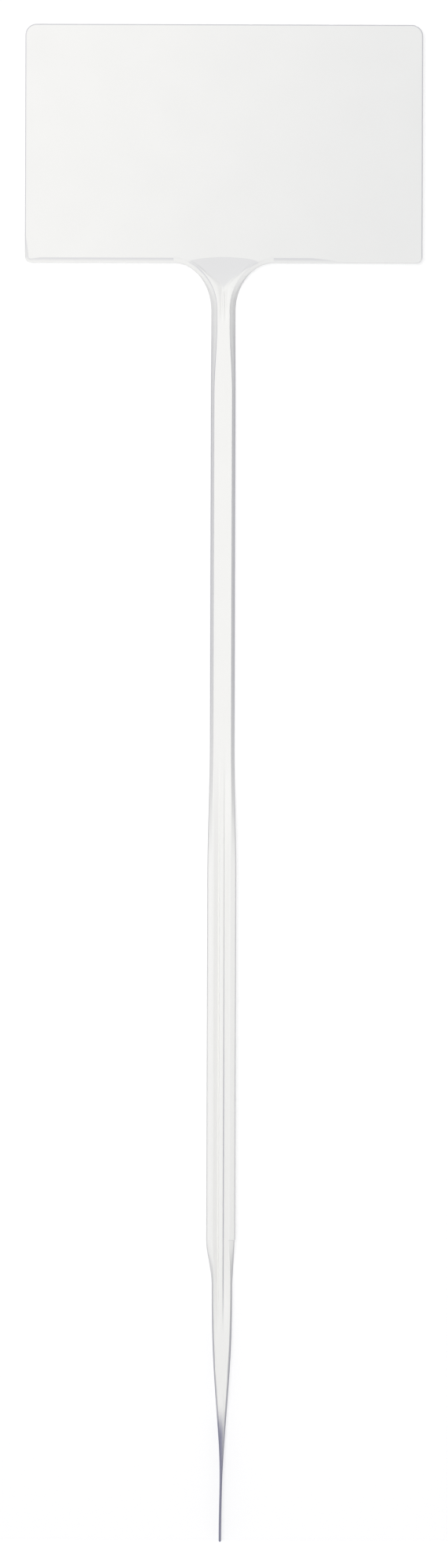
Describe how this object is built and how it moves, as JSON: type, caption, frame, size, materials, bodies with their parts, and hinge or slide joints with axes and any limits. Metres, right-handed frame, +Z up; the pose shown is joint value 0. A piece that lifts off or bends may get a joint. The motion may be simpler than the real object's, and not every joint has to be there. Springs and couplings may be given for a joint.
{
  "type": "plant label stake",
  "caption": "Upright plastic plant label: a blank landscape plate on a long channel-section stem that splays into a ribbed lower stem and ends in a thin blade pushed into the soil.",
  "frame": {"origin": "on the soil line, in the middle of the stem's width and depth", "axes": "+Z up along the stem, +X to the right along the plate, -Y out of the plate's front"},
  "size_m": [0.1, 0.003, 0.382],
  "materials": {
    "white_plastic": "satin, slightly translucent white polypropylene as moulded, with a fine texture on the plate"
  },
  "bodies": {
    "root": {"name_plate": "white_plastic", "shoulder": "white_plastic", "upper_stem": "white_plastic", "lower_stem": "white_plastic", "spike": "white_plastic"}
  },
  "joints": []
}
